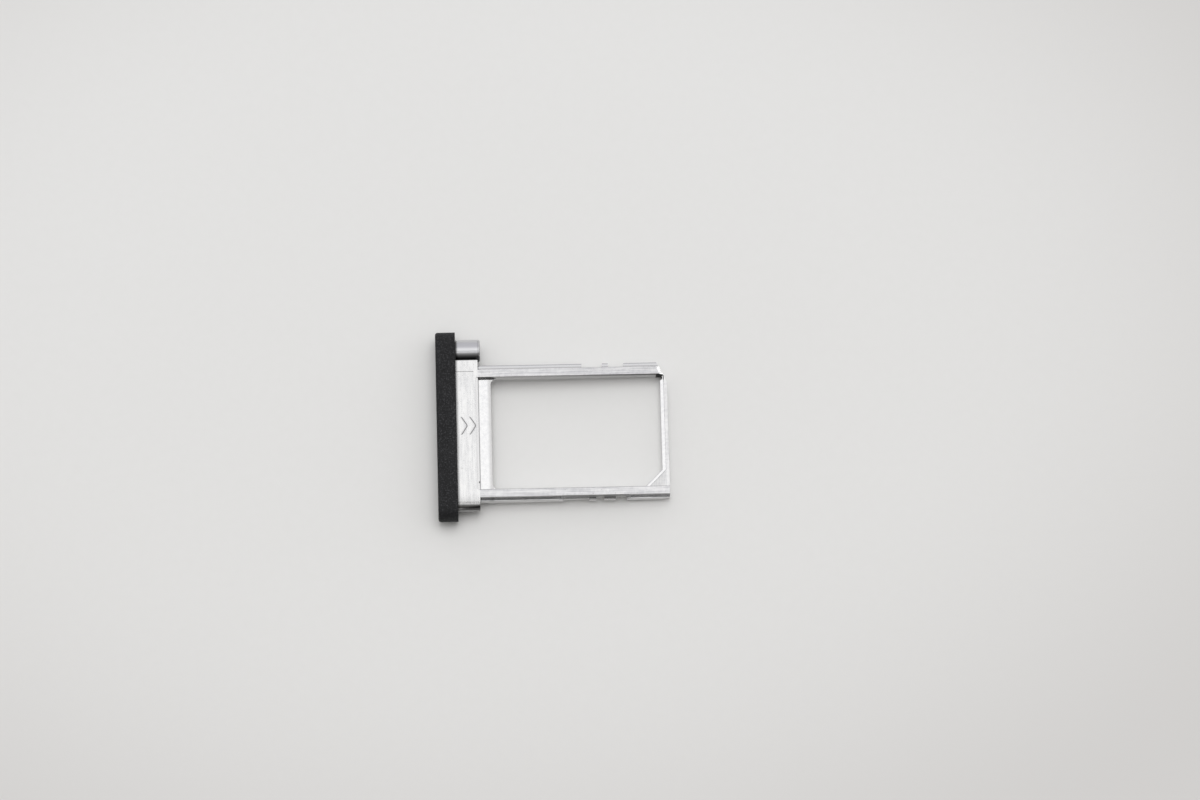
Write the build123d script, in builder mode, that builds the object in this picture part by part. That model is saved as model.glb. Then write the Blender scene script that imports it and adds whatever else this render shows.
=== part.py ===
"""SIM card tray: a black face plate and the bright metal tray frame that is seated in its back.

The frame is +X into the slot, +Y towards the pin hole's end of the face plate and +Z up, in millimetres.
The origin is under the middle of the tray, level with the underside of the face plate.
"""

import os
from math import hypot, sqrt

from build123d import *

# The card that the tray carries
card_length = 25.0
card_width = 15.0
card_thickness = 0.76
card_corner = 3.0

# Room left round the card
card_end_play = 0.1
card_side_play = 0.25
card_head_room = 0.1
card_corner_play = 0.75

# Face plate
plate_length = 26.25
plate_height = 3.6
plate_thickness = 2.7
plate_edge_radius = 0.35

# Pin hole and the round guide behind it
pin_hole_diameter = 1.2
pin_hole_lead = 0.15
guide_inset = 2.625
guide_diameter = 3.1
guide_length = 3.35
guide_end_chamfer = 0.15
guide_collar = 0.14
guide_groove_width = 0.16
guide_groove_depth = 0.12

# Foot of the frame, bonded in a recess in the back of the plate
foot_thickness = 0.7
seat_clearance = 0.04

# Block behind the plate, which reaches past each rail, with a scribed line across its top
core_height = 2.6
block_depth = 3.0
block_far_reach = 1.335
block_near_reach = 1.66
tray_offset = 1.22
scribe_inset = 1.63
scribe_length = 2.45
scribe_width = 0.1
scribe_depth = 0.05

# Rails with a slide flange along the foot of each
rail_width = 1.14
rail_height = 2.15
near_flange_width = 0.4
far_flange_width = 0.77
flange_thickness = 1.0
flange_lead_length = 0.9
flange_lead_depth = 0.2
flange_edge_radius = 0.15

# Ledges that the card lies on, and the lip that stops it
pocket_lead_width = 0.3
pocket_lead_depth = 0.1
front_ledge = 1.72
front_ledge_fillet = 0.9
end_ledge = 0.45
lip_thickness = 0.5
lip_drop = 0.25
corner_relief_radius = 0.35

# Latch notches, measured from the back of the plate
near_relief_start = 14.3
near_relief_length = 3.4
near_relief_depth = 0.2
near_catch_start = 18.7
near_catch_length = 1.1
near_stop_start = 21.35
near_stop_length = 1.5
far_catch_start = 17.15
far_catch_length = 2.8
far_stop_start = 20.75
far_stop_length = 2.1

# Cut-off corner that leads the tray into the slot
lead_length = 1.35
lead_width = 3.1
lead_bevel_width = 0.45
lead_bevel_depth = 0.3

edge_radius = 0.1

# Places along X
pocket_length = card_length + 2 * card_end_play
overall_length = plate_thickness + block_depth + pocket_length + lip_thickness
x_face = -overall_length / 2
x_back = x_face + plate_thickness
x_guide = x_back + seat_clearance
x_guide_end = x_back + guide_length
x_block = x_back + block_depth
x_lip = x_block + pocket_length
x_end = x_lip + lip_thickness
tray_length = x_end - x_block
x_tray = (x_block + x_end) / 2

# Places along Y
pocket_width = card_width + 2 * card_side_play
tray_width = pocket_width + 2 * rail_width
y_tray = -tray_offset
y_near = y_tray - pocket_width / 2
y_far = y_tray + pocket_width / 2
y_near_rail = y_tray - tray_width / 2
y_far_rail = y_tray + tray_width / 2
y_near_edge = y_near_rail - near_flange_width
y_far_edge = y_far_rail + far_flange_width
y_guide = plate_length / 2 - guide_inset
guide_radius = guide_diameter / 2
core_radius = core_height / 2
y_round = y_near_rail - block_near_reach + core_radius
y_block_far = y_far_rail + block_far_reach
foot_length = y_guide - y_round + core_height
y_foot = (y_guide + y_round) / 2

# Heights
z_mid = plate_height / 2
z_top = z_mid + core_radius
z_floor = z_top - rail_height
z_flange = z_floor + flange_thickness
pocket_depth = card_thickness + card_head_room
z_seat = z_top - pocket_depth
z_lip = z_top - lip_drop

# Legs of the corner web, which fills the card's cut corner
web_leg = card_corner - card_corner_play
web_shift = end_ledge * (sqrt(2) - 1)

# Plane where the cut-off corner starts, looking along the cut, and the cut's length across the far rail
corner_plane = Plane(
    origin=(x_end - lead_length, y_far_edge, z_top),
    x_dir=(lead_width, lead_length, 0),
    z_dir=(lead_length, -lead_width, 0),
)
bevel_length = hypot(lead_length, lead_width) * (far_flange_width + rail_width) / lead_width


# Face plate: a bar with round ends, hollowed at the back for the frame's foot
with BuildPart() as face_plate:
    with BuildSketch(Plane.YZ.offset(x_face)):
        with Locations((0, z_mid)):
            SlotOverall(plate_length, plate_height)
    extrude(amount=plate_thickness)
    outer_face = face_plate.faces().sort_by(Axis.X)[0]
    fillet(outer_face.edges(), plate_edge_radius)

    with BuildSketch(Plane.YZ.offset(x_back)):
        with Locations((y_foot, z_mid)):
            SlotOverall(foot_length + 2 * seat_clearance, core_height + 2 * seat_clearance)
    extrude(amount=-foot_thickness, mode=Mode.SUBTRACT)

    with Locations(Plane(origin=(x_face, y_guide, z_mid), x_dir=(0, 1, 0), z_dir=(-1, 0, 0))):
        CounterSinkHole(
            radius=pin_hole_diameter / 2,
            counter_sink_radius=pin_hole_diameter / 2 + pin_hole_lead,
            depth=plate_thickness,
            counter_sink_angle=90,
        )


# Tray frame: one casting from the foot in the plate to the lip at the far end
with BuildPart() as tray_frame:
    # Foot that fills the recess in the plate and holds the guide clear of it
    with BuildSketch(Plane.YZ.offset(x_back - foot_thickness)):
        with Locations((y_foot, z_mid)):
            SlotOverall(foot_length, core_height)
    extrude(amount=foot_thickness + seat_clearance)

    # Block, round at its near end and flat beside the guide
    with BuildSketch(Plane.YZ.offset(x_back)):
        with Locations((y_round, z_mid)):
            Circle(core_radius)
        with Locations(((y_round + y_block_far) / 2, z_mid)):
            Rectangle(y_block_far - y_round, core_height)
    extrude(amount=block_depth)

    # Rails, with the web between them still solid
    with BuildSketch(Plane.XY.offset(z_floor)):
        with Locations((x_tray, y_tray)):
            Rectangle(tray_length, tray_width)
    extrude(amount=rail_height)

    # Slide flanges along the foot of the rails
    with BuildSketch(Plane.XY.offset(z_floor)):
        with Locations((x_tray, (y_near_edge + y_far_edge) / 2)):
            Rectangle(tray_length, y_far_edge - y_near_edge)
    extrude(amount=flange_thickness)

    # Pocket for the card, with the corner web left standing
    with BuildSketch(Plane.XY.offset(z_seat)):
        with BuildLine():
            Polyline(
                (x_block, y_near),
                (x_lip - web_leg, y_near),
                (x_lip, y_near + web_leg),
                (x_lip, y_far),
                (x_block, y_far),
                close=True,
            )
        make_face()
    extrude(amount=pocket_depth, mode=Mode.SUBTRACT)

    # Opening through the floor, which leaves the ledges
    with BuildSketch(Plane.XY.offset(z_floor)) as opening:
        with BuildLine():
            Polyline(
                (x_block + front_ledge, y_near),
                (x_lip - web_leg - end_ledge * sqrt(2), y_near),
                (x_lip - end_ledge, y_near + web_leg + web_shift),
                (x_lip - end_ledge, y_far),
                (x_block + front_ledge, y_far),
                close=True,
            )
        make_face()
        fillet(opening.vertices().group_by(Axis.X)[0], front_ledge_fillet)
        with Locations((x_lip - end_ledge, y_far - corner_relief_radius)):
            Circle(corner_relief_radius)
    extrude(amount=rail_height, mode=Mode.SUBTRACT)

    # Shallow lead along the front of the pocket
    with BuildSketch(Plane.XZ.offset(-y_far)):
        with BuildLine():
            Polyline(
                (x_block - pocket_lead_width, z_top),
                (x_block, z_top),
                (x_block, z_top - pocket_lead_depth),
                close=True,
            )
        make_face()
    extrude(amount=pocket_width, mode=Mode.SUBTRACT)

    # Line scribed across the block
    with BuildSketch(Plane.XY.offset(z_top)):
        with Locations((x_back + scribe_length / 2, y_block_far - scribe_inset)):
            Rectangle(scribe_length, scribe_width)
    extrude(amount=-scribe_depth, mode=Mode.SUBTRACT)

    # Lip and corner web stand a little lower than the rails
    with BuildSketch(Plane.XY.offset(z_top)):
        with Locations(((x_lip - web_leg + x_end) / 2, y_tray)):
            Rectangle(x_end - x_lip + web_leg, pocket_width)
    extrude(amount=-lip_drop, mode=Mode.SUBTRACT)

    # Latch notches in the flanges
    with BuildSketch(Plane.XY.offset(z_floor)):
        for start, length in (
            (near_catch_start, near_catch_length),
            (near_stop_start, near_stop_length),
        ):
            with Locations((x_back + start + length / 2, (y_near_edge + y_near_rail) / 2)):
                Rectangle(length, near_flange_width)
        with Locations(
            (
                x_back + near_relief_start + near_relief_length / 2,
                y_near_edge + near_relief_depth / 2,
            )
        ):
            Rectangle(near_relief_length, near_relief_depth)
        for start, length in (
            (far_catch_start, far_catch_length),
            (far_stop_start, far_stop_length),
        ):
            with Locations((x_back + start + length / 2, (y_far_rail + y_far_edge) / 2)):
                Rectangle(length, far_flange_width)
    extrude(amount=flange_thickness, mode=Mode.SUBTRACT)

    # Cut-off corner on the far rail, and the lead on the near flange
    with BuildSketch(Plane.XY.offset(z_floor)):
        with BuildLine():
            Polyline(
                (x_end - lead_length, y_far_edge),
                (x_end, y_far_edge),
                (x_end, y_far_edge - lead_width),
                close=True,
            )
        make_face()
        with BuildLine():
            Polyline(
                (x_end - flange_lead_length, y_near_edge),
                (x_end, y_near_edge),
                (x_end, y_near_edge + flange_lead_depth),
                close=True,
            )
        make_face()
    extrude(amount=rail_height, mode=Mode.SUBTRACT)

    # Bevel along the cut-off corner, as far as the rail goes
    with BuildSketch(corner_plane):
        with BuildLine():
            Polyline((-lead_bevel_width, 0), (0, -lead_bevel_depth), (0, 0), close=True)
        make_face()
    extrude(amount=bevel_length, mode=Mode.SUBTRACT)

    # Soft edges on the lip, the corner web and the end ledge
    lip_edges = tray_frame.edges().filter_by_position(Axis.Z, z_lip, z_lip)
    web_top_edge = lip_edges.filter_by(Axis((0, 0, 0), (1, 1, 0)))
    fillet(lip_edges.filter_by(Axis.Y) + web_top_edge, edge_radius)
    seat_faces = tray_frame.faces().filter_by(Axis.Z).filter_by_position(Axis.Z, z_seat, z_seat)
    end_seat_edges = seat_faces.sort_by(Axis.X)[-1].edges()
    end_edge = end_seat_edges.filter_by(Axis.Y).sort_by(Axis.X)[0:1]
    web_edge = end_seat_edges.filter_by(Axis((0, 0, 0), (1, 1, 0))).sort_by(Axis.X)[0:1]
    fillet(end_edge + web_edge, edge_radius)

    # Soft edges along the tops of the rails and round the back of the block
    top_edges = tray_frame.edges().group_by(Axis.Z)[-1]
    rail_edges = top_edges.filter_by(Axis.X).filter_by_position(Axis.X, x_block, x_end)
    rail_end_edge = top_edges.filter_by(Axis.Y).sort_by(Axis.X)[-1:]
    fillet(rail_edges + rail_end_edge, edge_radius)
    back_edges = tray_frame.edges().filter_by_position(Axis.X, x_block, x_block)
    block_far_edge = tray_frame.edges().filter_by(Axis.X).group_by(Axis.Z)[-1].sort_by(Axis.Y)[-1:]
    block_end_edges = back_edges.filter_by_position(Axis.Z, z_mid, z_mid)
    block_top_edge = back_edges.filter_by(Axis.Y).group_by(Axis.Z)[-1].sort_by(Axis.Y)[-1:]
    block_foot_edge = back_edges.filter_by(Axis.Y).group_by(Axis.Z)[0]
    fillet(block_far_edge + block_end_edges + block_top_edge + block_foot_edge, edge_radius)

    # Round edges along the flanges, wider on top
    for level, radius in ((z_flange, flange_edge_radius), (z_floor, edge_radius)):
        flange_edges = tray_frame.edges().filter_by(Axis.X).filter_by_position(Axis.Z, level, level)
        near_edges = flange_edges.filter_by_position(Axis.Y, y_near_edge, y_near_rail, inclusive=(True, False))
        far_edges = flange_edges.filter_by_position(Axis.Y, y_far_rail, y_far_edge, inclusive=(False, True))
        fillet(near_edges + far_edges, radius)

    # Pin guide, turned about the pin's axis, with a groove close to the plate
    with BuildSketch(Plane.XY.offset(z_mid)):
        with BuildLine():
            Polyline(
                (x_guide, y_guide),
                (x_guide, y_guide + guide_radius),
                (x_guide + guide_collar, y_guide + guide_radius),
                (x_guide + guide_collar, y_guide + guide_radius - guide_groove_depth),
                (x_guide + guide_collar + guide_groove_width, y_guide + guide_radius - guide_groove_depth),
                (x_guide + guide_collar + guide_groove_width, y_guide + guide_radius),
                (x_guide_end - guide_end_chamfer, y_guide + guide_radius),
                (x_guide_end, y_guide + guide_radius - guide_end_chamfer),
                (x_guide_end, y_guide),
                close=True,
            )
        make_face()
    revolve(axis=Axis((0, y_guide, z_mid), (1, 0, 0)))
    with Locations(Plane(origin=(x_guide_end, y_guide, z_mid), z_dir=(1, 0, 0))):
        Hole(pin_hole_diameter / 2, depth=guide_length + foot_thickness)

face_plate.part.label = "face_plate"
tray_frame.part.label = "tray_frame"

os.makedirs("parts", exist_ok=True)
export_step(face_plate.part, "parts/face_plate.step")
export_step(tray_frame.part, "parts/tray_frame.step")
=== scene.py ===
"""SIM card tray: finishes, insertion mark, table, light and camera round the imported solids, in metres."""

from math import cos, radians, sin

import bpy
import numpy as np
from mathutils import Matrix, Vector


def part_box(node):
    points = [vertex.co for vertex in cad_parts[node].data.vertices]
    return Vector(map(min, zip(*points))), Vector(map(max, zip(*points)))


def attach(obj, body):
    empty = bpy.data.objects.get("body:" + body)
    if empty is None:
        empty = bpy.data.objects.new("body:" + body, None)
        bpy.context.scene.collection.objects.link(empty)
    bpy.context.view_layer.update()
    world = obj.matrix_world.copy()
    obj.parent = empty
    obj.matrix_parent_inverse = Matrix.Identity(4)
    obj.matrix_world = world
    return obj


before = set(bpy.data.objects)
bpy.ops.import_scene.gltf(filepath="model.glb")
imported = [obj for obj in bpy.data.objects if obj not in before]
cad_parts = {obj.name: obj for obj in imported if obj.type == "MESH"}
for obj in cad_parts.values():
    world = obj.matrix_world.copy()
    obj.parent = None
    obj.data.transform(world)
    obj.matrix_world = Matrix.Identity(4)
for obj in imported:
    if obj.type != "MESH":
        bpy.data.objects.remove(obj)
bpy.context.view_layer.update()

MM = 0.001

# Places on the tray that the finishes and the mark follow, in millimetres
tray_low, tray_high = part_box("tray_frame")
PLATE_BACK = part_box("face_plate")[1].x / MM
BLOCK_BACK = PLATE_BACK + 3.0
BLOCK_FAR = 9.0
ROUND_END = tray_low.y / MM
LIP_FRONT = tray_high.x / MM - 0.5
TOP = 3.1
FLANGE = 1.95
POCKET_NEAR = -8.97
POCKET_FAR = 6.53
FAR_RAIL = 7.67
NEAR_RAIL = -10.11
SCRIBE = 7.375

# How dark each band of painted shade on the metal is, and the real chip and scribed line, where its mask
# doesn't say so itself
SHADE_AND_MARK_STRENGTH = {
    "rounding": 0.28,
    "deep": 0.62,
    "shallow": 0.55,
    "guide_far": 0.18,
    "guide_end": 0.5,
    "corner": 0.97,
    "foot": 0.7,
    "chip": 0.7,
    "far_edge": 0.2,
    "far_top": 0.3,
    "near_brink": 0.3,
    "web": 0.14,
    "lip_edge": 0.25,
    "scribed": 0.45,
}

# The tray leans on the table from the plate's back edge to the lip's foot
LEAN = radians(1.9)


class Value:
    """A number that a shader works out: Python's operators on it add Math nodes to the same tree."""

    def __init__(self, finish, socket):
        self.finish = finish
        self.socket = socket

    def reckon(self, operation, *operands):
        sockets = dict(enumerate(operands))
        return self.finish.node("Math", {"operation": operation}, sockets).value()

    def __add__(self, other):
        return self.reckon("ADD", self, other)

    def __radd__(self, other):
        return self.reckon("ADD", other, self)

    def __sub__(self, other):
        return self.reckon("SUBTRACT", self, other)

    def __rsub__(self, other):
        return self.reckon("SUBTRACT", other, self)

    def __mul__(self, other):
        return self.reckon("MULTIPLY", self, other)

    def __rmul__(self, other):
        return self.reckon("MULTIPLY", other, self)

    def __truediv__(self, other):
        return self.reckon("DIVIDE", self, other)

    def ramp(self, low, high):
        """0 below low, 1 above high, and a smooth rise between them."""
        sockets = {"Value": self, "From Min": low, "From Max": high}
        return self.finish.node("MapRange", {"interpolation_type": "SMOOTHSTEP"}, sockets).value()

    def fall(self, low, high):
        """1 below low, 0 above high, and a smooth fall between them."""
        return 1.0 - self.ramp(low, high)

    def band(self, start, full, still, gone):
        """A rise from start to full, 1 from there to still, and a fall from still to gone."""
        return self.ramp(start, full) * self.fall(still, gone)


class Made:
    """A node that has been made, with its outputs by name or number."""

    def __init__(self, finish, node):
        self.finish = finish
        self.node = node

    def value(self, output=0):
        return Value(self.finish, self.node.outputs[output])


class Finish:
    """A shader tree, and the one method that adds nodes to it."""

    def __init__(self, tree):
        self.tree = tree
        tree.nodes.clear()

    def node(self, kind, settings=None, sockets=None):
        made = self.tree.nodes.new("ShaderNode" + kind)
        for name, setting in (settings or {}).items():
            setattr(made, name, setting)
        for name, given in (sockets or {}).items():
            if isinstance(given, Value):
                self.tree.links.new(given.socket, made.inputs[name])
            else:
                made.inputs[name].default_value = given
        return Made(self, made)

    def spot(self):
        """The point being shaded, in metres of the tray's own frame."""
        return self.node("TexCoord").value("Object")

    def parts(self, vector):
        """The three parts of a vector."""
        split = self.node("SeparateXYZ", sockets={0: vector})
        return split.value("X"), split.value("Y"), split.value("Z")

    def millimetres(self, spot):
        """The three parts of a point, in millimetres."""
        return tuple(part / MM for part in self.parts(spot))

    def grain(self, spot, stretch, detail=2.0, roughness=0.5, shift=(0.0, 0.0, 0.0)):
        """Noise round 0.5 whose cells are 1/stretch metres long on each axis."""
        laid = self.node("Mapping", sockets={"Vector": spot, "Location": shift, "Scale": stretch}).value()
        sockets = {"Vector": laid, "Scale": 1.0, "Detail": detail, "Roughness": roughness}
        return self.node("TexNoise", sockets=sockets).value("Fac")

    def blend(self, factor, first, second):
        """A colour from first, where factor is 0, to second, where it is 1."""
        sockets = {"Factor": factor, 6: first, 7: second}
        return self.node("Mix", {"data_type": "RGBA"}, sockets).value(2)


def colour(red, green, blue):
    return (red, green, blue, 1.0)


def new_finish(name):
    material = bpy.data.materials.new(name)
    material.use_nodes = True
    return material, Finish(material.node_tree)


def matte_black():
    """Moulded black with a fine sparkle: grains of 0.15 mm, paler flecks, and a rough skin."""
    material, finish = new_finish("matte_black")
    spot = finish.spot()
    grain = finish.grain(spot, (6500, 6500, 6500), detail=2.0)
    speck = finish.grain(spot, (6000, 6000, 6000), detail=2.0, roughness=0.6, shift=(3.1, 0.4, 7.7))
    cloud = finish.grain(spot, (420, 420, 420), detail=3.0, shift=(1.3, 5.2, 0.6))
    fleck = speck.ramp(0.50, 0.74)
    shade = grain.ramp(0.25, 0.8) * 0.5 + cloud.ramp(0.3, 0.75) * 0.3
    base = finish.blend(shade, colour(0.0055, 0.0055, 0.006), colour(0.0195, 0.0195, 0.021))
    base = finish.blend(fleck * 0.8, base, colour(0.066, 0.067, 0.071))
    roughness = 0.5 + cloud * 0.14 + grain * 0.08
    height = grain * 0.7 + speck * 0.5
    bump = finish.node("Bump", sockets={"Strength": 0.5, "Distance": 0.02 * MM, "Height": height}).value()
    skin = finish.node("BsdfPrincipled", sockets={
        "Base Color": base,
        "Roughness": roughness,
        "Normal": bump,
        "Specular IOR Level": 0.25,
    }).value()
    finish.node("OutputMaterial", sockets={"Surface": skin})
    return material


class Tray:
    """A point on the tray's metal: its place in millimetres, and the masks that its finishes share."""

    def __init__(self, finish, spot):
        self.x, self.y, self.z = finish.millimetres(spot)
        facing = finish.parts(finish.node("TexCoord").value("Normal"))
        self.up = facing[2].ramp(0.80, 0.97)
        self.side = 1.0 - self.up
        self.inward = facing[0].fall(0.2, 0.4)
        self.behind = self.x.ramp(BLOCK_BACK - 0.05, BLOCK_BACK + 0.05)
        self.on_block = 1.0 - self.behind
        self.on_rail = self.behind * (0.3 + self.z.ramp(TOP - 0.20, TOP - 0.14) * 0.7)
        self.guide = self.y.ramp(BLOCK_FAR + 0.02, BLOCK_FAR + 0.06)
        self.lapped = self.up * self.z.ramp(TOP - 0.34, TOP - 0.28) * (1.0 - self.guide)
        self.low = self.z.fall(2.3, 2.4)
        slant = self.y - (self.x - PLATE_BACK) * 0.13 + 0.20
        self.round_end = slant.fall(ROUND_END + 0.28, ROUND_END + 0.58) * self.on_block


def plate_painted_shade(tray):
    """Painted shade and painted dark reflection at the plate, on the block's round end, and on and beside the
    guide.
    """
    x, y, z = tray.x, tray.y, tray.z
    crevice = y.ramp(BLOCK_FAR - 0.08, BLOCK_FAR - 0.03) * z.ramp(1.75, 1.85)
    # seam: painted shade and a painted reflection of the black plate; rounding and under: painted shade on the
    # round end; deep and shallow: painted shade in the crevice; guide_far and guide_end: painted shade on the
    # guide
    return {
        "seam": x.fall(PLATE_BACK + 0.05, PLATE_BACK + 0.38) * (0.55 + tray.guide * 0.35),
        "rounding": y.fall(ROUND_END + 0.7, ROUND_END + 2.3) * tray.on_block,
        "under": tray.round_end * (0.45 + z.ramp(2.1, 2.38) * 0.44),
        "deep": crevice * y.fall(BLOCK_FAR + 0.35, BLOCK_FAR + 0.65),
        "shallow": crevice * y.fall(BLOCK_FAR + 0.82, BLOCK_FAR + 1.12),
        "guide_far": y.ramp(BLOCK_FAR + 2.0, BLOCK_FAR + 2.9),
        "guide_end": tray.guide * x.ramp(PLATE_BACK + 3.29, PLATE_BACK + 3.33),
    }


def pocket_shade_and_chip(tray, mottle):
    """Painted shade in the pocket: on its far wall, in the corner at the lip, and at the block's foot; painted
    dark reflection on the facet; and the dark spot of a real chip.
    """
    x, y, z = tray.x, tray.y, tray.z
    wall = tray.side * tray.inward * y.band(5.75, 5.95, POCKET_FAR + 0.02, POCKET_FAR + 0.07)
    facet = tray.side * y.ramp(POCKET_FAR + 0.09, POCKET_FAR + 0.13) * x.ramp(13.0, 13.2) * z.ramp(2.72, 2.78)
    chip_x, chip_y = (x - BLOCK_BACK) / 0.16, (y + 8.0) / 0.16
    # corner, brow and foot: painted shade; facet: painted dark reflection; chip: a real chip on the block's
    # top edge
    return {
        "corner": wall * x.ramp(LIP_FRONT - 1.05, LIP_FRONT - 0.9),
        "brow": wall * (0.1 + z.ramp(2.3, 2.6) * (0.3 + x.ramp(-4.0, 12.0) * 0.5)),
        "facet": facet * (0.1 + mottle.ramp(0.5, 0.6) * 0.4),
        "foot": tray.low * x.band(BLOCK_BACK - 0.02, BLOCK_BACK, BLOCK_BACK + 0.04, BLOCK_BACK + 0.18),
        "chip": (chip_x * chip_x + chip_y * chip_y).fall(0.4, 1.3) * z.ramp(TOP - 0.4, TOP - 0.2),
    }


def rail_shade_and_scribe(tray):
    """Painted shade and painted dark reflection along the rails' edges, on the near flange, the web and the
    lip; and the dark scribed line.
    """
    x, y, z = tray.x, tray.y, tray.z
    cut = x.band(0.4, 2.0, 9.4, 10.8)
    near_wall = tray.side * y.band(NEAR_RAIL - 0.03, NEAR_RAIL - 0.01, NEAR_RAIL + 0.08, NEAR_RAIL + 0.12)
    near_top = y.band(NEAR_RAIL - 0.36, NEAR_RAIL - 0.28, NEAR_RAIL - 0.02, NEAR_RAIL)
    near_top = near_top * z.ramp(FLANGE - 0.13, FLANGE - 0.06) * (1.0 - x.ramp(9.6, 12.5) * 0.9)
    near_brink = y.band(POCKET_NEAR - 0.10, POCKET_NEAR - 0.05, POCKET_NEAR, POCKET_NEAR + 0.02)
    web = y.band(POCKET_NEAR, POCKET_NEAR + 0.02, POCKET_NEAR + 2.4, POCKET_NEAR + 2.6)
    web = web * x.band(LIP_FRONT - 2.6, LIP_FRONT - 2.4, LIP_FRONT - 0.6, LIP_FRONT + 0.2)
    off_scribe = (y - SCRIBE) / 0.05
    scribed = (off_scribe * off_scribe).fall(0.8, 1.3) * x.fall(PLATE_BACK + 2.40, PLATE_BACK + 2.47)
    # All but scribed are painted shade or painted dark reflection; scribed is the real scribed line
    return {
        "near_wall": near_wall * tray.behind * (0.05 + z.ramp(1.5, 2.4) * (0.12 + cut * 0.45)),
        "near_top": near_top * tray.behind * (0.25 + cut * 0.45),
        "far_edge": y.ramp(FAR_RAIL - 0.09, FAR_RAIL - 0.05) * z.ramp(2.6, 2.8) * tray.behind,
        "far_top": y.band(FAR_RAIL, FAR_RAIL + 0.02, FAR_RAIL + 0.30, FAR_RAIL + 0.42) * tray.behind,
        "near_brink": near_brink * z.ramp(TOP - 0.12, TOP - 0.10) * tray.behind,
        "web": web * z.ramp(TOP - 0.30, TOP - 0.27),
        "lip_edge": x.ramp(LIP_FRONT + 0.38, LIP_FRONT + 0.45) * z.ramp(2.5, 2.7),
        "scribed": scribed * z.ramp(TOP - 0.08, TOP - 0.06) * tray.on_block,
    }


def together(masks):
    """What one mask or another covers: 1 less the product of what each of them leaves clear."""
    clear = 1.0
    for mask in masks:
        clear = clear * (1.0 - mask)
    return 1.0 - clear


def metal_colour(finish, tray, line, mottle):
    """The metal under the bands of painted shade: block and rails as lapped, and the rest as moulded, with
    darker places; those at the ledge's edge and the block's back edge are painted shade.
    """
    x, y, z = tray.x, tray.y, tray.z
    shade = line.ramp(0.36, 0.64) * 0.70 + mottle.ramp(0.36, 0.64) * 0.30
    block = finish.blend(shade, colour(0.79, 0.79, 0.793), colour(0.995, 0.99, 0.98))
    rail = finish.blend(shade, colour(0.64, 0.64, 0.655), colour(0.96, 0.955, 0.955))
    dim = y.ramp(0.0, 1.0) * x.ramp(-3.0, 6.0)
    rail = finish.blend(dim * 0.12, rail, colour(0.30, 0.295, 0.31))
    top = finish.blend(tray.on_rail, block, rail)
    moulded = finish.blend(mottle.ramp(0.3, 0.7), colour(0.87, 0.87, 0.878), colour(0.965, 0.96, 0.958))
    # Painted shade on the ledge's right edge, where its rounding turns from the light
    ledge_edge_shade = tray.low * tray.up * x.band(BLOCK_BACK + 1.1, BLOCK_BACK + 1.65, -8.2, -8.0)
    moulded = finish.blend(ledge_edge_shade * 0.7, moulded, colour(0.56, 0.555, 0.55))
    far_flange = y.ramp(FAR_RAIL + 0.02, FAR_RAIL + 0.06) * tray.behind
    moulded = finish.blend(far_flange, moulded, colour(0.68, 0.68, 0.69))
    moulded = finish.blend(tray.guide, moulded, colour(0.78, 0.78, 0.795))
    base = finish.blend(tray.lapped, moulded, top)
    # Painted shade along the block's top at its back edge
    back_edge_shade = x.band(BLOCK_BACK - 0.48, BLOCK_BACK - 0.30, BLOCK_BACK, BLOCK_BACK + 0.02)
    back_edge_shade = back_edge_shade * y.band(-9.0, -8.9, 6.5, 6.6) * z.ramp(TOP - 0.12, TOP - 0.11)
    return finish.blend(back_edge_shade, base, colour(0.74, 0.735, 0.735))


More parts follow.
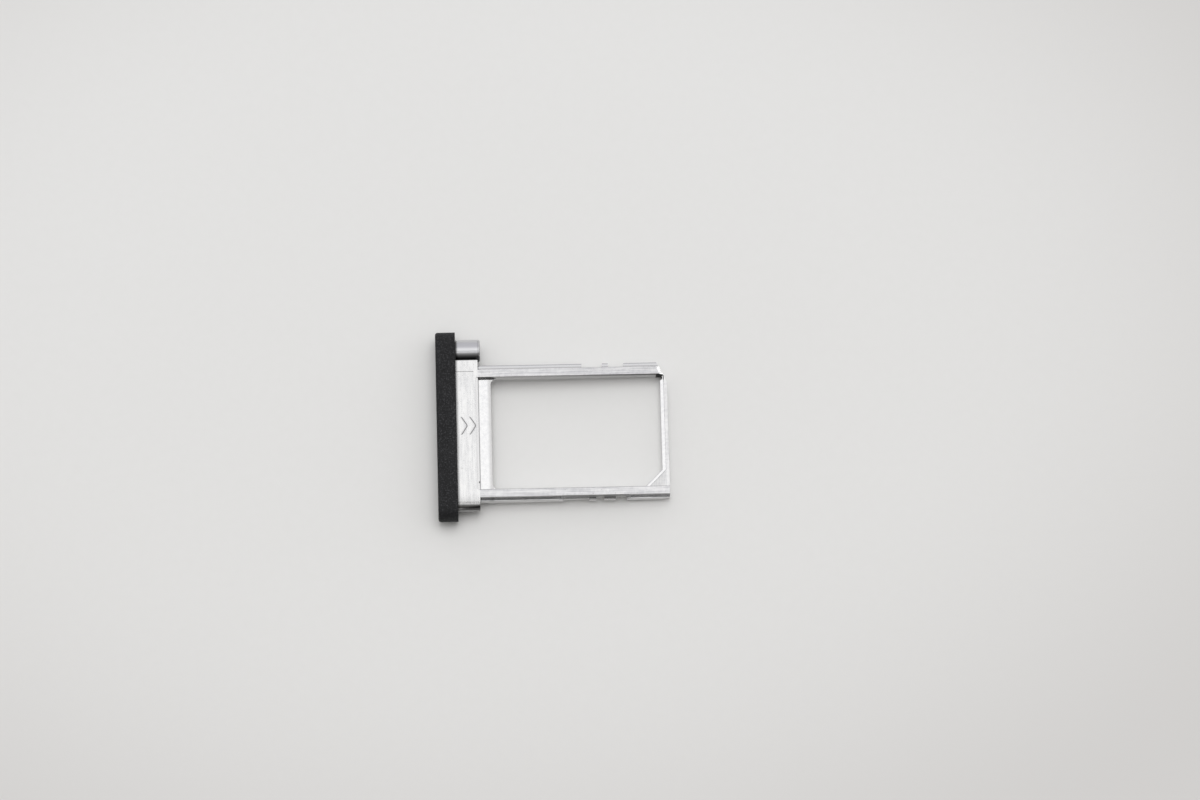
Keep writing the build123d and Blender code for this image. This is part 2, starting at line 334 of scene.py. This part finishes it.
def cast_metal():
    """Bright cast metal: smooth as moulded, with its tops lapped afterwards.

    The lapped tops have drawn lines, along the rails and across the block, over a mottle with pits.
    """
    material, finish = new_finish("cast_metal")
    spot = finish.spot()
    tray = Tray(finish, spot)
    lapped, on_rail = tray.lapped, tray.on_rail
    along_rail = finish.grain(spot, (180, 4200, 4200), detail=3.0, roughness=0.62)
    along_block = finish.grain(spot, (4000, 280, 4000), detail=3.0, roughness=0.62, shift=(2.0, 8.0, 5.0))
    line = along_block + on_rail * (along_rail - along_block)
    mottle = finish.grain(spot, (2100, 2100, 2100), detail=4.0, roughness=0.6, shift=(4.0, 1.0, 2.0))
    cloud = finish.grain(spot, (260, 260, 260), detail=2.0, shift=(9.0, 3.0, 1.0))
    fine = finish.grain(spot, (14000, 14000, 14000), detail=2.0)
    pit = finish.grain(spot, (3400, 3400, 3400), detail=1.0, shift=(0.7, 6.1, 3.3)).ramp(0.70, 0.78) * lapped

    # Bands of painted shade and painted dark reflection, with a real chip and the scribed line, darken the
    # metal's colour
    shade_and_mark_masks = {**plate_painted_shade(tray), **pocket_shade_and_chip(tray, mottle), **rail_shade_and_scribe(tray)}
    shade_and_marks = together(mask * SHADE_AND_MARK_STRENGTH.get(name, 1.0) for name, mask in shade_and_mark_masks.items())
    # Where painted shade lies in the corner at the lip and on the near rail's wall, and at the real chip, the
    # metal is also rougher
    shade_and_chip = together(shade_and_mark_masks[name] for name in ("corner", "near_wall", "chip"))
    base = metal_colour(finish, tray, line, mottle)
    base = finish.blend(pit * 0.5, base, colour(0.42, 0.41, 0.41))
    base = finish.blend(shade_and_marks, base, colour(0.03, 0.029, 0.028))

    worn = 0.17 + on_rail * 0.10 + line * 0.12 + mottle * 0.08
    smooth = 0.06 + cloud * 0.04 + mottle * 0.03 + tray.guide * 0.2 + tray.round_end * 0.16
    roughness = smooth + lapped * (worn - smooth) + pit * 0.1 + shade_and_chip * 0.5
    height = lapped * (line - pit * 0.8 + mottle * 0.35) + mottle * 0.12 + fine * 0.05
    bump = finish.node("Bump", sockets={"Strength": 0.5, "Distance": 0.012 * MM, "Height": height}).value()
    skin = finish.node("BsdfPrincipled", sockets={
        "Base Color": base,
        "Metallic": 1.0,
        "Roughness": roughness,
        "Normal": bump,
    }).value()
    finish.node("OutputMaterial", sockets={"Surface": skin})
    return material


def scribed_metal():
    """The insertion mark: metal thrown up at both sides of a stroke, and a rougher floor between, darkened
    with painted shade.
    """
    material, finish = new_finish("scribed_metal")
    spot = finish.spot()
    depth = finish.node("Attribute", {"attribute_name": "stroke_floor"}).value("Fac")
    grain = finish.grain(spot, (9000, 9000, 9000), detail=2.0)
    # The floor of a stroke is rougher, and its dark colour is painted shade
    shaded_rough_floor = depth.ramp(0.35, 0.8) * (0.55 + grain * 0.6)
    base = finish.blend(shaded_rough_floor, colour(0.86, 0.86, 0.865), colour(0.22, 0.215, 0.21))
    bump = finish.node("Bump", sockets={"Strength": 0.4, "Distance": 0.01 * MM, "Height": grain}).value()
    skin = finish.node("BsdfPrincipled", sockets={
        "Base Color": base,
        "Metallic": 1.0,
        "Roughness": 0.30 + shaded_rough_floor * 0.25,
        "Normal": bump,
    }).value()
    finish.node("OutputMaterial", sockets={"Surface": skin})
    return material


def insertion_mark():
    """Two chevrons that point into the slot, scribed across the block's top.

    Along a stroke t runs from -1 to 1 and the middle line is x = tip - reach * sqrt(t * t + soft),
    y = middle + t * half. Round the stroke a closed loop goes over the top, with u from -1 to 1 across it,
    and back underneath. The top's height is 4 * burr * u * u * (1 - u * u), which is two burrs beside a low
    floor, and width and height fade at both ends as the root of 1 - t ** 12. Sizes are in millimetres.
    """
    steps, over = 61, 17
    t = np.linspace(-1.0, 1.0, steps)
    u = np.linspace(-1.0, 1.0, over)
    loop_u = np.concatenate([u, u[-2:0:-1]])
    on_top = np.concatenate([np.ones(over, bool), np.zeros(over - 2, bool)])
    around = loop_u.size
    fade = np.sqrt(np.clip(1.0 - np.abs(t) ** 12, 0.02, 1.0))
    half, reach, soft = 1.25, 0.85, 0.012
    stroke, burr, sink = 0.17, 0.022, 0.012
    points, faces, floors = [], [], []
    for tip in (PLATE_BACK + 1.40, PLATE_BACK + 2.55):
        start = sum(len(block) for block in points)
        middle = tip - reach * (np.sqrt(t * t + soft) - np.sqrt(soft))
        xs = middle[:, None] + stroke * fade[:, None] * loop_u[None, :]
        ys = np.broadcast_to((-0.15 + half * t)[:, None], xs.shape)
        crown = 4.0 * burr * loop_u ** 2 * (1.0 - loop_u ** 2) + 0.004 * (1.0 - loop_u ** 2)
        top = TOP + crown[None, :] * fade[:, None] - 0.002 * (np.abs(loop_u) > 0.999)[None, :]
        zs = np.where(on_top[None, :], top, TOP - sink)
        points.append(np.stack([xs, ys, zs], axis=-1).reshape(-1, 3))
        floors.append(np.broadcast_to(np.where(on_top, 1.0 - np.abs(loop_u), 0.0)[None, :], xs.shape).ravel())
        row, col = np.meshgrid(np.arange(steps - 1), np.arange(around), indexing="ij")
        nxt = (col + 1) % around
        quads = np.stack([row * around + col, row * around + nxt,
                          (row + 1) * around + nxt, (row + 1) * around + col], axis=-1).reshape(-1, 4) + start
        faces += quads.tolist()
        faces.append((np.arange(around)[::-1] + start).tolist())
        faces.append((np.arange(around) + start + (steps - 1) * around).tolist())
    mesh = bpy.data.meshes.new("insertion_mark")
    mesh.from_pydata((np.concatenate(points) * MM).tolist(), [], faces)
    mesh.attributes.new("stroke_floor", "FLOAT", "POINT").data.foreach_set("value", np.concatenate(floors))
    mesh.polygons.foreach_set("use_smooth", np.ones(len(mesh.polygons), bool))
    mesh.update()
    mark = bpy.data.objects.new("insertion_mark", mesh)
    bpy.context.collection.objects.link(mark)
    mesh.materials.append(scribed_metal())
    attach(mark, "root")
    return mark


def table():
    """The pale table: a flat grid through the plate's back edge that rises with the tray's lean.

    Its height is z = slope * (x - back), in metres.
    """
    reach, count = 2.4, 25
    side = np.linspace(-reach, reach, count)
    x, y = np.meshgrid(side, side, indexing="ij")
    z = np.tan(LEAN) * (x - PLATE_BACK * MM)
    row, col = np.meshgrid(np.arange(count - 1), np.arange(count - 1), indexing="ij")
    corner = row * count + col
    quads = np.stack([corner, corner + count, corner + count + 1, corner + 1], axis=-1).reshape(-1, 4)
    mesh = bpy.data.meshes.new("table")
    mesh.from_pydata(np.stack([x, y, z], axis=-1).reshape(-1, 3).tolist(), [], quads.tolist())
    mesh.update()
    top = bpy.data.objects.new("table", mesh)
    bpy.context.collection.objects.link(top)
    material, finish = new_finish("pale_table")
    spot = finish.spot()
    x, y, _ = finish.millimetres(spot)
    tooth = finish.grain(spot, (900, 900, 900), detail=3.0)
    cloud = finish.grain(spot, (14, 14, 14), detail=2.0)
    # Painted light on the table: brighter toward the far side, and darker toward its edges
    across, away = (x + 10.0) / 82.0, (y - 16.0) / 56.0
    fall = (across * across + away * away).ramp(0.4, 2.6)
    base = finish.blend(tooth * 0.3 + cloud * 0.2 + away.ramp(-1.6, 1.6) * 0.5,
                        colour(0.705, 0.70, 0.69), colour(0.765, 0.765, 0.76))
    base = finish.blend(fall, base, colour(0.62, 0.61, 0.60))
    skin = finish.node("BsdfPrincipled", sockets={
        "Base Color": base,
        "Roughness": 0.65,
        "Specular IOR Level": 0.2,
    }).value()
    finish.node("OutputMaterial", sockets={"Surface": skin})
    mesh.materials.append(material)
    return top


def room_light():
    """Light from the room: a bright ceiling, a grey far wall and a near wall that is dark to its foot.

    A window is at the right, the dark shape of a camera stands over the tray, and a pale backdrop is in view.
    The lean of a direction from overhead is arctan(y / z), positive to the far side. Matt surfaces are lit
    by a softer copy of the room, and mirror bright ones show the room itself.
    """
    world = bpy.data.worlds.new("room")
    world.use_nodes = True
    bpy.context.scene.world = world
    finish = Finish(world.node_tree)
    toward = finish.node("TexCoord").value("Generated")
    x, y, z = finish.parts(toward)
    lean = y.reckon("ARCTAN2", y, z)

    def step(low, high, before, after):
        return finish.blend(lean.ramp(radians(low), radians(high)), before, after)

    near_side = step(-95.0, -58.0, colour(0.03, 0.029, 0.027), colour(0.12, 0.117, 0.112))
    ceiling = step(-58.0, -16.0, near_side, colour(1.05, 1.05, 1.05))
    room = step(8.0, 34.0, ceiling, colour(0.59, 0.585, 0.61))
    window = x.ramp(0.45, 0.75) * y.ramp(-0.1, 0.2)
    room = finish.blend(window, room, colour(1.35, 1.35, 1.35))
    sight = Vector((0.0, -cos(radians(77.3)), sin(radians(77.3))))
    off_sight = finish.node("VectorMath", {"operation": "DOT_PRODUCT"}, {0: toward, 1: sight}).value("Value")
    room = finish.blend(off_sight.ramp(cos(radians(7.5)), cos(radians(5.0))), room, colour(0.06, 0.06, 0.06))
    soft = step(-50.0, 10.0, colour(0.25, 0.24, 0.23), colour(0.90, 0.90, 0.90))
    paths = finish.node("LightPath")
    seen = finish.blend(paths.value("Is Glossy Ray"), soft, room)
    seen = finish.blend(paths.value("Is Camera Ray"), seen, colour(0.74, 0.74, 0.735))
    back = finish.node("Background", sockets={"Color": seen, "Strength": 1.0}).value()
    finish.node("OutputWorld", sockets={"Surface": back})


def lamp(name, toward, strength, spread, tint):
    """A broad lamp far away in the direction toward, spread degrees wide."""
    data = bpy.data.lights.new(name, "SUN")
    data.energy = strength
    data.angle = radians(spread)
    data.color = tint
    body = bpy.data.objects.new(name, data)
    body.rotation_mode = "QUATERNION"
    body.rotation_quaternion = Vector(toward).to_track_quat("Z", "Y")
    body.visible_glossy = False
    bpy.context.collection.objects.link(body)


def photo_camera():
    """The camera, placed over the table and then turned with the tray's lean into the tray's own frame.

    It looks down from the near side at 77.3 degrees with a roll of 1.55 degrees, 680 mm from the tray,
    through a 150 mm lens, and is moved sideways and up so that the tray falls left of the middle.
    """
    rise, roll = radians(77.298), radians(1.546)
    far, sideways, upward = 680.36 * MM, 6.512 * MM, 3.692 * MM
    back = Vector((0.0, -cos(rise), sin(rise)))
    right = Vector((1.0, 0.0, 0.0))
    up = back.cross(right)
    right, up = cos(roll) * right - sin(roll) * up, sin(roll) * right + cos(roll) * up
    spot = far * back + sideways * right + upward * up
    heel = Vector((PLATE_BACK * MM, 0.0, 0.0))
    turn = Matrix.Rotation(-LEAN, 3, "Y")
    data = bpy.data.cameras.new("camera")
    data.lens = 150.0
    data.sensor_width = 36.0
    data.clip_start = 0.01
    body = bpy.data.objects.new("camera", data)
    axes = Matrix((turn @ right, turn @ up, turn @ back)).transposed()
    body.matrix_world = Matrix.Translation(turn @ (spot - heel) + heel) @ axes.to_4x4()
    bpy.context.collection.objects.link(body)
    bpy.context.scene.camera = body


def dress(node, material):
    """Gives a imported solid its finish."""
    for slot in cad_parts[node].material_slots:
        slot.material = material


dress("face_plate", matte_black())
dress("tray_frame", cast_metal())
insertion_mark()
table()
room_light()
lamp("key", (0.05, 0.30, 0.95), 1.15, 42.0, (1.0, 1.0, 1.0))
photo_camera()

bpy.context.scene.view_settings.view_transform = "Standard"
